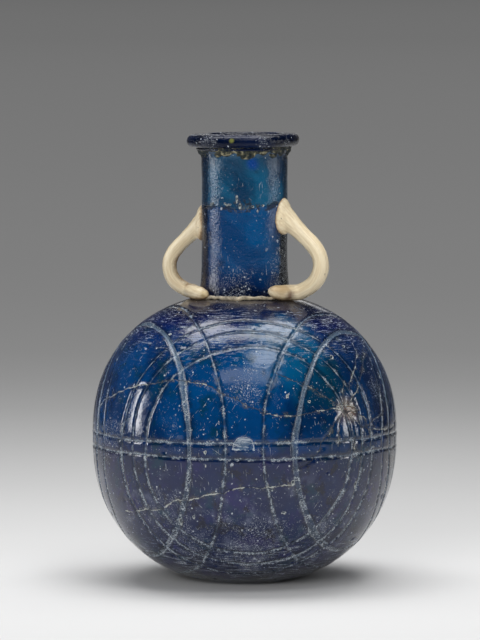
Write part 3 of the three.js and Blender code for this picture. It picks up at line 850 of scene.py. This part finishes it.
def neck_tube(name, low, high, rows, material, node):
    """A length of neck from one height or ring of heights to another, with its wall, chips and cracks."""
    bearing = bearings(NECK_COLUMNS)
    height = low + (high - low) * np.linspace(0, 1, rows)[:, None]
    edge = np.minimum(height - low, high - height)
    radius = neck_radius(height)
    bevelled = radius - BEVEL * np.clip(1 - edge / BEVEL_WIDTH, 0, 1) ** 2
    outside = around(bearing, bevelled, height).reshape(-1, 3)
    away = outside * (1, 1, 0) / bevelled.reshape(-1, 1)
    chip = np.full(len(outside), -9.0)
    for at, up, wide, tall in BREAK_CHIPS:
        middle = around(at, NECK_RADIUS, up)
        chip = np.maximum(chip, chip_depth(outside, middle, around(at, 1.0, 0.0), wide, tall))
    sunk = np.clip(NECK_INSET - lumps(outside, (0.09, 0.16), (0.35, 0.05)), 0, None)
    sunk += BREAK_CHIP_DEPTH * np.clip(chip / 0.5, 0, 1)
    inside = around(bearing, radius[::-8] - NECK_WALL, height[::-8]).reshape(-1, 3)
    points = np.vstack([outside - away * sunk[:, None], inside])
    marks = np.arange(-180, 181, 3)
    line = on_neck(np.column_stack([marks, break_height(marks)]))
    crack, side, _ = crack_fields(points, [line, *map(on_neck, BREAK_SPURS)])
    chip = np.pad(chip, (0, len(inside)), constant_values=-9.0)
    values = {"crack": crack, "side": side, "dust": np.full(len(points), BREAK_DUST), "chip": chip}
    faces = loop_faces(len(points) // NECK_COLUMNS, NECK_COLUMNS)
    make_piece(name, points, faces, material, node, values=values)


upper_glass = cobalt_glass(
    "upper_neck_glass",
    deep=(0.002, 0.032, 0.085),
    clear=(0.006, 0.098, 0.200),
    gloss=0.08,
    dimple=0.16,
    shine=0.42,
    weather=0.85,
    zones=[(131, 140, (0.020, 0.036, 0.070), 0.5)],
    # The streams darken the neck's left and right sides: painted shade.
    painted_shade_bands=[
        ((-13.2, -5.4), 1.5, 4.5, (0.002, 0.008, 0.030), 0.8),
        ((13.6, -4.2), 1, 4, (0.004, 0.012, 0.03), 0.7),
    ],
    spots=[((2.6, -14.1, 138.4), 0.6, 3.0, (0.003, 0.05, 0.27), 0.85)],
)
lower_glass = cobalt_glass(
    "lower_neck_glass",
    deep=(0.0002, 0.038, 0.135),
    clear=(0.0003, 0.070, 0.215),
    gloss=0.07,
    dimple=0.15,
    shine=0.42,
    weather=0.9,
    worn_spots=[((13.4, -4, 112), 5, 10), ((13, -5, 103), 5, 10), ((-3, -15, 99), 3, 9)],
    # The zones darken the neck towards its foot and make the foot near black: painted shade in the angle with
    # the shoulder.
    zones=[(107, 98, (0.0003, 0.010, 0.060), 0.85), (99, 96, (0.0004, 0.002, 0.012), 0.8)],
    # The streams darken the neck's left and right sides, the right one near black: painted shade.
    painted_shade_bands=[
        ((-13.4, -5.0), 1.5, 4.8, (0.001, 0.003, 0.014), 0.9),
        ((13.6, -4.6), 2.8, 7, (0.002, 0.004, 0.008), 0.95),
    ],
)
broken = break_height(bearings(NECK_COLUMNS))
neck_tube("lower_neck", NECK_FOOT - FOOT_OVERLAP, broken - BREAK_GAP, LOWER_ROWS, lower_glass, "neck_lower")
neck_tube("upper_neck", broken + BREAK_GAP, NECK_TOP + TOP_OVERLAP, UPPER_ROWS, upper_glass, "neck_upper")

# The rim: the mouth's edge, folded out and back on itself while hot and pressed flat into a disc with a round
# edge. It is thick, so it looks nearly black, and it stands a hair to the left of the neck.
rim_low, rim_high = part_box("folded_rim")
RIM_RADIUS = rim_high.x / MM
RIM_TOP = rim_high.z / MM
FOLD_LOW = rim_low.z / MM
RIM_THICKNESS = 4.2
RIM_SHIFT = -0.5
RIM_LEAN = 0.3
LIP_ROUNDING = 1.5
MOUTH_RADIUS = 11.8
FOLD_RADIUS = 15.6
FOLD_ROUNDING = 0.55
EDGE_INSET = 0.3
RIM_ROWS = 110
RIM_COLUMNS = 360


def arc(radius, height, size, start, end, count):
    turn = np.radians(np.linspace(start, end, count))
    return list(zip(radius + size * np.cos(turn), height + size * np.sin(turn)))


edge = RIM_THICKNESS / 2
wall_foot = (NECK_RADIUS + TOP_FLARE - NECK_WALL, FOLD_LOW)
rim_profile = [
    wall_foot,
    *arc(FOLD_RADIUS - FOLD_ROUNDING, FOLD_LOW + FOLD_ROUNDING, FOLD_ROUNDING, -90, 60, 8),
    *arc(RIM_RADIUS - EDGE_INSET - edge, RIM_TOP - edge, edge, -90, 90, 30),
    *arc(MOUTH_RADIUS + LIP_ROUNDING, RIM_TOP - LIP_ROUNDING, LIP_ROUNDING, 90, 180, 12),
    wall_foot,
]
radii, heights = resampled(rim_profile, RIM_ROWS)[:, :-1, None]
bearing = bearings(RIM_COLUMNS)
rim_points = around(bearing, radii, heights)
ring_way = around(bearing, 1.0, 0.0)
reach = np.clip((radii - MOUTH_RADIUS) / (RIM_RADIUS - MOUTH_RADIUS), 0, 1)
out_swell = lumps(ring_way, (1.3, 0.5), start=(5, 0, 0)) + lumps(ring_way, (6, 0.1))
rim_points += ring_way * (reach * np.clip(out_swell + 0.25, -0.3, 0.6))[..., None]
rim_points[..., 2] -= reach * np.abs(lumps(ring_way, (1.6, 0.28), start=(0, 9, 0)))
rim_points[..., 2] -= np.abs(lumps(rim_points, (0.8, 0.17))).reshape(reach.shape[0], -1)
rim_points[..., 2] += RIM_LEAN * (rim_points[..., 0] / RIM_RADIUS - 1) * reach
rim_points[..., 0] += RIM_SHIFT * reach
rim_glass = cobalt_glass(
    "rim_glass",
    deep=(0.0006, 0.0030, 0.014),
    clear=(0.0012, 0.0064, 0.032),
    gloss=0.06,
    dimple=0.18,
    shine=0.22,
    weather=0.5,
    worn_spots=[
        ((6, -17, 145), 1, 4), ((-12, -13, 145), 1, 5), ((14, -11, 144), 1, 4), ((-17, 6, 145), 1, 5),
    ],
    spots=[((-4.3, -18.0, 146.0), 0.4, 1.2, (0.16, 0.17, 0.04), 0.9)],
    cracked=False,
)
rim_faces = loop_faces(RIM_ROWS - 1, RIM_COLUMNS)
make_piece("folded_disc_rim", rim_points.reshape(-1, 3), rim_faces, rim_glass, "folded_rim")

# The soil: what the ground left behind, a dark crust packed in the crease under the rim, with paler crumbs
# and a few lumps that run down on the neck. A lump has a bearing, height, half width and half height.
SOIL_PROFILE = [
    (14.4, 141.0), (15.0, 141.6), (15.4, 142.3), (15.6, 143.0), (15.8, 143.5), (16.3, 143.9),
    (15.0, 144.3), (14.0, 142.2), (14.4, 141.0),
]
SOIL_LUMPS = [
    (2, 140.5, 2.1, 0.9), (-5, 141.2, 1.6, 0.8), (9, 140.9, 1.4, 0.8), (-38, 141.2, 1.8, 0.9),
    (41, 141.0, 1.6, 1.0), (75, 141.3, 2.0, 0.9), (-80, 141.0, 1.7, 1.1), (-63, 140.7, 1.0, 0.7),
    (128, 140.8, 2.2, 1.0), (-140, 141.1, 1.7, 0.8), (170, 140.6, 1.5, 0.9),
]
SOIL_SHIFT = -0.25
SOIL_COLUMNS = 400
SOIL_ROWS = 26
FRAYED_BELOW = 143.5
LUMP_THICKNESS = 0.45
LUMP_ROWS = 14
LUMP_SIDES = 24
DARK_SOIL = (0.008, 0.017, 0.022)
GREY_SOIL = (0.048, 0.050, 0.034)
PALE_CRUMB = (0.33, 0.30, 0.19)
SOIL_HOLLOW_SHADE = (0.004, 0.006, 0.010)


def soil_material(name):
    made, tree = new_material(name)
    where = tree.nodes.new("ShaderNodeTexCoord").outputs["Object"]
    crumbs = grain(where, 1.3, detail=4, roughness=0.65)
    patch = grain(where, 3.5, detail=3)
    colour = tint(DARK_SOIL, GREY_SOIL, rise(patch, 0.42, 0.62))
    pale = both(rise(crumbs, 0.52, 0.62), rise(patch, 0.38, 0.56))
    colour = tint(colour, PALE_CRUMB, pale)
    # Painted shade: near black in the hollows between the crumbs, where the relief is low.
    colour = tint(colour, SOIL_HOLLOW_SHADE, rise(crumbs, 0.45, 0.36))
    finish(colour, 0.85, both(crumbs, 0.4), {})
    return made


def roughened(points, amount):
    """Points pushed in and out by a small lumpy noise."""
    return points + np.array([noise.noise_vector(Vector(point) * 0.8) * amount for point in points])


radii, heights = resampled(SOIL_PROFILE, SOIL_ROWS + 1)[:, :-1, None]
crust = around(bearings(SOIL_COLUMNS), radii, heights).reshape(-1, 3)
crust[:, 2] += np.clip(FRAYED_BELOW - crust[:, 2], 0, 1.5) * lumps(crust, (0.35, 0.8))
soil_points = [roughened(crust, 0.4) + (SOIL_SHIFT, 0, 0)]
soil_faces = [loop_faces(SOIL_ROWS, SOIL_COLUMNS)]
tip = np.linspace(0.02, 3.12, LUMP_ROWS)[:, None]
dome = around(bearings(LUMP_SIDES), np.sin(tip), np.cos(tip)).reshape(-1, 3)
for at, up, wide, tall in SOIL_LUMPS:
    bulge = NECK_RADIUS + LUMP_THICKNESS * (dome[:, 1] - 0.1)
    lump = around(at + np.degrees(dome[:, 0] * wide / NECK_RADIUS), bulge, up + dome[:, 2] * tall)
    soil_faces.append(loop_faces(LUMP_ROWS, LUMP_SIDES, closed=False) + sum(map(len, soil_points)))
    soil_points.append(roughened(lump, 0.35))
make_piece("rim_soil", np.vstack(soil_points), np.vstack(soil_faces), soil_material("dried_soil"))

# The ivory glass: two handles, each one rod pressed on the neck in a leaf-shaped pad, drawn out, bent back
# and laid along the foot of the neck towards the front, where it thins to a tongue. Pulled streaks run along
# the rods, with small dark pits, and brown soil has stayed in their angles, laid on with painted shade there.
PAD_LENGTH = 12.4
PAD_WIDTH = 9.6
PAD_DEPTH = 2.9
PAD_SINK = 0.3
PAD_FLARE = 0.42
TURN_REACH = 1.6
ROD_STEPS = 170
SKIN_VOXEL = 0.34
SKIN_EASING = 10
WELD = 0.45
# Each handle's inner value lays brown soil and painted shade on the inner side of its loop.
HANDLES = [
    SimpleNamespace(
        side="right", bearing=65, rod=5.4, pad_rise=26.5, reach=13.8, widest_rise=10.7, bend=8.6,
        foot_bearing=27, tip_rise=1.3, inner_soil_and_shade=0.40, shade=1.0,
        spots=[
            # The first spot, dark orange-brown where the foot meets the shoulder, is a painted shadow.
            ((14.3, -12.9, 95.2), 0.8, 2.6, (0.13, 0.045, 0.018), 0.85),
            ((8.4, -16.3, 98.7), 0.6, 2.6, (0.22, 0.13, 0.10), 0.8),
            ((12.2, -14.8, 98.0), 1.5, 5.0, (0.52, 0.35, 0.17), 0.8),
        ],
    ),
    # The left handle's shade of 0.90 paints its whole colour darker: painted shade.
    SimpleNamespace(
        side="left", bearing=-105, rod=4.9, pad_rise=23.9, reach=11.9, widest_rise=9.3, bend=7.9,
        foot_bearing=-45, tip_rise=-0.7, inner_soil_and_shade=1.25, shade=0.90,
        spots=[
            ((-12.4, -14.2, 97.4), 1.0, 5.0, (0.50, 0.37, 0.13), 0.8),
            ((-14.0, -13.4, 95.0), 0.4, 2.0, (0.16, 0.11, 0.04), 0.85),
        ],
    ),
]
IVORY_DEEP = (0.74, 0.60, 0.385)
IVORY_PALE = (0.92, 0.795, 0.555)
IVORY_WHITE = (0.92, 0.83, 0.63)
IVORY_VEIN = (0.46, 0.34, 0.19)
BROWN_SOIL_AND_SHADE = (0.36, 0.21, 0.09)
PIT_BROWN = (0.16, 0.11, 0.07)


def ivory_glass(name, dirt_and_shade_colour=BROWN_SOIL_AND_SHADE, dirt_and_shade_strength=0.75, spots=(), shade=1.0):
    """Opaque ivory glass with streaks that follow a piece's fields, pits, and brown soil with painted shade
    where a field marks it; a shade below 1 darkens it all, as painted shade.
    """
    made, tree = new_material(name)
    where = tree.nodes.new("ShaderNodeTexCoord").outputs["Object"]
    laid = {number: attribute(tree, field) for number, field in enumerate(("along", "across", "depth"))}
    pulled = stretched(add("ShaderNodeCombineXYZ", laid).outputs[0], (0.07, 1.0, 1.0))
    streak = {"Vector": pulled, "Scale": 1.5, "Detail": 4.0, "Roughness": 0.6}
    streak = add("ShaderNodeTexNoise", streak).outputs[0]
    broad = add("ShaderNodeTexNoise", {"Vector": pulled, "Scale": 0.5, "Detail": 2.0}).outputs[0]
    cloud = grain(where, 4, detail=4, roughness=0.6)
    crumbs = grain(where, 0.8, detail=3, roughness=0.65)
    # A shade below 1 darkens the whole colour: painted shade.
    under, over = [[shade * part for part in tone] for tone in (IVORY_DEEP, IVORY_PALE)]
    colour = tint(under, over, rise(streak, 0.34, 0.66))
    colour = tint(colour, IVORY_WHITE, rise(broad, 0.5, 0.75), 0.5)
    colour = tint(colour, IVORY_VEIN, rise(streak, 0.60, 0.70), 0.25)
    # Soil and painted shade together, from the piece's field: brown, and darker still where it is deepest.
    marked = plus(calc("SUBTRACT", attribute(tree, "soil_and_shade"), 1.05), cloud, 1.2)
    marked = swayed(marked, crumbs, 0.8)
    dirt_and_shade = both(rise(marked, 0.0, 0.75), dirt_and_shade_strength)
    colour = tint(colour, dirt_and_shade_colour, dirt_and_shade)
    colour = tint(colour, [0.35 * part for part in dirt_and_shade_colour], rise(marked, 0.45, 0.95), 0.7)
    for at, inner, outer, tone, strength in spots:
        colour = tint(colour, tone, closeness(where, at, inner, outer, cloud), strength)
    pit = either(specks(where, 0.55, 1.7, 0.22), specks(where, 1.1, 4.2, 0.35, ragged=0.6))
    colour = tint(colour, PIT_BROWN, pit, 0.75)
    rough = either(plus(0.26, streak, 0.2), both(either(pit, dirt_and_shade), 0.8))
    relief = plus(both(streak, 0.22), pit, -0.2)
    relief = plus(relief, both(dirt_and_shade, crumbs), 0.25)
    finish(colour, rough, relief, {"IOR": 1.5}, strength=0.8)
    return made


def across_ways(centres, width_way):
    """Two directions across a line at each point, the first as near to `width_way` as the line allows."""
    ahead = np.gradient(centres, axis=0)
    ahead /= np.linalg.norm(ahead, axis=1, keepdims=True)
    across = np.empty_like(ahead)
    way = np.asarray(width_way, dtype=float)
    for index, step in enumerate(ahead):
        way = way - step * (way @ step)
        way /= np.linalg.norm(way)
        across[index] = way
    return across, np.cross(ahead, across)


def tube(centres, width_way, half_width, half_depth, sides=24):
    """A closed tube of oval section: its points and its faces, with a cap at each end."""
    across, depth_way = across_ways(centres, width_way)
    turn = np.arange(sides) * 2 * np.pi / sides
    ring = (
        centres[:, None]
        + across[:, None] * (half_width[:, None] * np.cos(turn))[..., None]
        + depth_way[:, None] * (half_depth[:, None] * np.sin(turn))[..., None]
    )
    points = np.concatenate([ring.reshape(-1, 3), centres[:1], centres[-1:]])
    faces = [tuple(face) for face in loop_faces(len(centres), sides, closed=False)]
    first, last = len(points) - 2, len(points) - 1
    end = (len(centres) - 1) * sides
    for side in range(sides):
        other = (side + 1) % sides
        faces.append((first, other, side))
        faces.append((last, end + side, end + other))
    return points, faces


def fused(name, bodies):
    """Joins closed bodies into one skin without seams, and gives its points and quads."""
    mesh = bpy.data.meshes.new(name)
    points, faces = [], []
    for body_points, body_faces in bodies:
        faces += [tuple(index + len(points) for index in face) for face in body_faces]
        points += [tuple(point) for point in body_points]
    mesh.from_pydata(points, [], faces)
    made = bpy.data.objects.new(name, mesh)
    bpy.context.scene.collection.objects.link(made)
    skin = made.modifiers.new("skin", "REMESH")
    skin.mode = "VOXEL"
    skin.voxel_size = SKIN_VOXEL
    ease = made.modifiers.new("ease", "SMOOTH")
    ease.iterations = SKIN_EASING
    ease.factor = 0.5
    done = made.evaluated_get(bpy.context.evaluated_depsgraph_get()).to_mesh()
    found = np.empty(3 * len(done.vertices), dtype=np.float32)
    done.vertices.foreach_get("co", found)
    corners = np.empty(len(done.loops), dtype=np.int32)
    done.loops.foreach_get("vertex_index", corners)
    bpy.data.objects.remove(made)
    bpy.data.meshes.remove(mesh)
    return found.reshape(-1, 3).astype(float), corners.reshape(-1, 4)


def eased(line, times):
    """A line with its corners rounded off, its ends kept."""
    for _ in range(times):
        line[1:-1] = (line[:-2] + 2 * line[1:-1] + line[2:]) / 4
    return line


def rod_line(handle):
    """The rod's centre line: a slope off the pad, the bend, a run in, and the foot laid round the neck."""
    start = np.array((NECK_RADIUS, NECK_FOOT + handle.pad_rise))
    centre = np.array((NECK_RADIUS + handle.reach - handle.bend, NECK_FOOT + handle.widest_rise))
    away = start - centre
    bend_start = math.degrees(math.atan2(away[1], away[0]) - math.acos(handle.bend / np.linalg.norm(away)))
    bend = arc(*centre, handle.bend, bend_start, -90, 30)
    turn_in = NECK_FOOT_RADIUS + handle.rod / 2 + TURN_REACH
    run = [tuple(start), *bend, (turn_in, shoulder_height(turn_in) + 0.5 * handle.rod)]
    radius, height = eased(resampled(run, 90).T, 60).T
    share = np.linspace(0.1, 1, 40)
    lay = NECK_FOOT_RADIUS + handle.rod * (0.44 - 0.10 * share)
    tip_rise = handle.tip_rise * np.clip((share - 0.45) / 0.55, 0, 1) ** 2
    up = shoulder_height(NECK_FOOT_RADIUS + handle.rod / 2) + 0.47 * handle.rod + tip_rise
    foot = around(handle.bearing + (handle.foot_bearing - handle.bearing) * share, lay, up)
    return eased(resampled(np.vstack([around(handle.bearing, radius, height), foot]), ROD_STEPS).T, 40)


def rod_body(handle, line, sideways):
    """The rod: flared at the pad, a little uneven, and thinned at the foot to a round tip."""
    share = np.linspace(0, 1, len(line))
    flare = 1 + PAD_FLARE * np.clip(1 - share / 0.22, 0, 1) ** 2
    waver = 1 + lumps([(9 * at, handle.bearing, 0) for at in share], (1, 0.06))
    thin = 1 - 0.50 * np.clip((share - 0.84) / 0.16, 0, 1) ** 2
    tip = np.sqrt(np.clip(1 - np.clip((share - 0.955) / 0.045, 0, 1) ** 2, 0.01, 1))
    thick = handle.rod / 2 * flare * waver * thin * tip
    return tube(line, sideways, thick * 1.08, thick * 0.97)


def pad_body(handle, out, sideways):
    """The pad: a leaf of glass, broader below, pressed round the neck."""
    share = np.linspace(-1, 1, 40)
    leaf = np.sqrt(np.clip(1 - np.abs(share) ** 2.1, 0.0004, 1)) * (1 - 0.16 * share)
    height = NECK_FOOT + handle.pad_rise + share * PAD_LENGTH / 2
    line = around(handle.bearing, NECK_RADIUS - PAD_SINK, height)
    points, faces = tube(line, sideways, PAD_WIDTH / 2 * leaf, PAD_DEPTH * leaf)
    bearing = handle.bearing + np.degrees(points @ sideways / NECK_RADIUS)
    return around(bearing, points @ out, points[:, 2]), faces


def dot(one, other):
    return np.einsum("ij,ij->i", one, other)


for handle in HANDLES:
    label = f"ivory_handle_{handle.side}"
    out, sideways = around(handle.bearing, 1.0, 0.0), around(handle.bearing + 90, 1.0, 0.0)
    line = rod_line(handle)
    bodies = [rod_body(handle, line, sideways), pad_body(handle, out, sideways)]
    points, faces = fused(f"{label}_skin", bodies)

    # It rests on the neck and the shoulder, sunk in by the weld alone.
    neck_skin = neck_radius(points[:, 2]) - WELD
    points[:, :2] *= np.maximum(1, neck_skin / np.linalg.norm(points[:, :2], axis=1))[:, None]
    distance = np.linalg.norm(points[:, :2], axis=1)
    points[:, 2] = np.maximum(points[:, 2], shoulder_height(distance) - WELD)

    # Fields along the rod and across it, which the streaks follow, and ridges drawn out with them.
    index = nearest(points, line)
    off = points - line[index]
    across_way, depth_way = across_ways(line, sideways)
    along = length_along(line)[index]
    across = dot(off, across_way[index])
    depth = dot(off, depth_way[index])
    strand = np.column_stack([along * 0.05, across * 0.9, depth * 0.9])
    ridge = lumps(strand, (1, 0.12)) + lumps(points, (1.2, 0.07))
    points += off / np.maximum(np.linalg.norm(off, axis=1, keepdims=True), 0.3) * ridge[:, None]

    # Brown soil and painted shade lie near the neck and the shoulder and on the inner side of the loop, and
    # more on the foot.
    gap = np.minimum(distance - neck_skin, points[:, 2] - shoulder_height(distance)) - WELD
    inward = line[: ROD_STEPS * 3 // 4].mean(axis=0) - line[index]
    inward /= np.linalg.norm(inward, axis=1, keepdims=True)
    inner = np.clip(dot(off, inward) / (handle.rod / 2), 0, 1)
    foot_share = np.clip((index / (ROD_STEPS - 1) - 0.78) / 0.22, 0, 1)
    soil_and_shade = 1.1 * np.exp(-np.clip(gap, 0, None) / 1.1) + handle.inner_soil_and_shade * inner**2 + 0.45 * foot_share
    values = {"along": along, "across": across, "depth": depth, "soil_and_shade": soil_and_shade}
    ivory = ivory_glass(f"{label}_glass", spots=handle.spots, shade=handle.shade)
    make_piece(label, points, faces, ivory, f"handle_{handle.side}", values)

# The thread: a thin trail of the same ivory glass, laid once round the angle between neck and shoulder. It is
# uneven, thin in places, and grey with the dirt of the ground.
thread_low, thread_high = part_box("neck_thread")
THREAD_HALF = (thread_high.z - thread_low.z) / 2 / MM
THREAD_HEIGHT = (thread_high.z + thread_low.z) / 2 / MM - 0.45
THREAD_CENTRE = thread_high.x / MM - THREAD_HALF - 0.05
THREAD_INSET = 0.15
THREAD_DROP = 0.1
THREAD_STEPS = 480
THREAD_SIDES = 12
STREAK_PER_DEGREE = 0.27
GREY_DIRT = (0.23, 0.20, 0.16)

bearing = bearings(THREAD_STEPS)
ring = around(bearing, THREAD_CENTRE, THREAD_HEIGHT)
size = THREAD_HALF * np.clip(0.95 + 1.3 * lumps(ring, (0.25, 0.35), (0.9, 0.30)), 0.45, 1.25)
bob = lumps(ring, (0.4, 0.5), start=(3, 3, 3))
turn = np.radians(bearings(THREAD_SIDES))[:, None]
radius = THREAD_CENTRE - THREAD_INSET + size * np.cos(turn)
height = THREAD_HEIGHT - THREAD_DROP + bob + size * np.sin(turn)
thread_points = roughened(around(bearing, radius, height).reshape(-1, 3), 0.12)
values = {
    "along": np.tile(bearing * STREAK_PER_DEGREE, THREAD_SIDES),
    "across": np.repeat(np.cos(turn), THREAD_STEPS),
    "depth": np.repeat(np.sin(turn), THREAD_STEPS),
    "soil_and_shade": np.full(len(thread_points), 1.0),
}
thread_glass = ivory_glass("ivory_thread_glass", GREY_DIRT, 0.85)
thread_faces = loop_faces(THREAD_SIDES, THREAD_STEPS)
make_piece("ivory_thread", thread_points, thread_faces, thread_glass, "neck_thread", values)
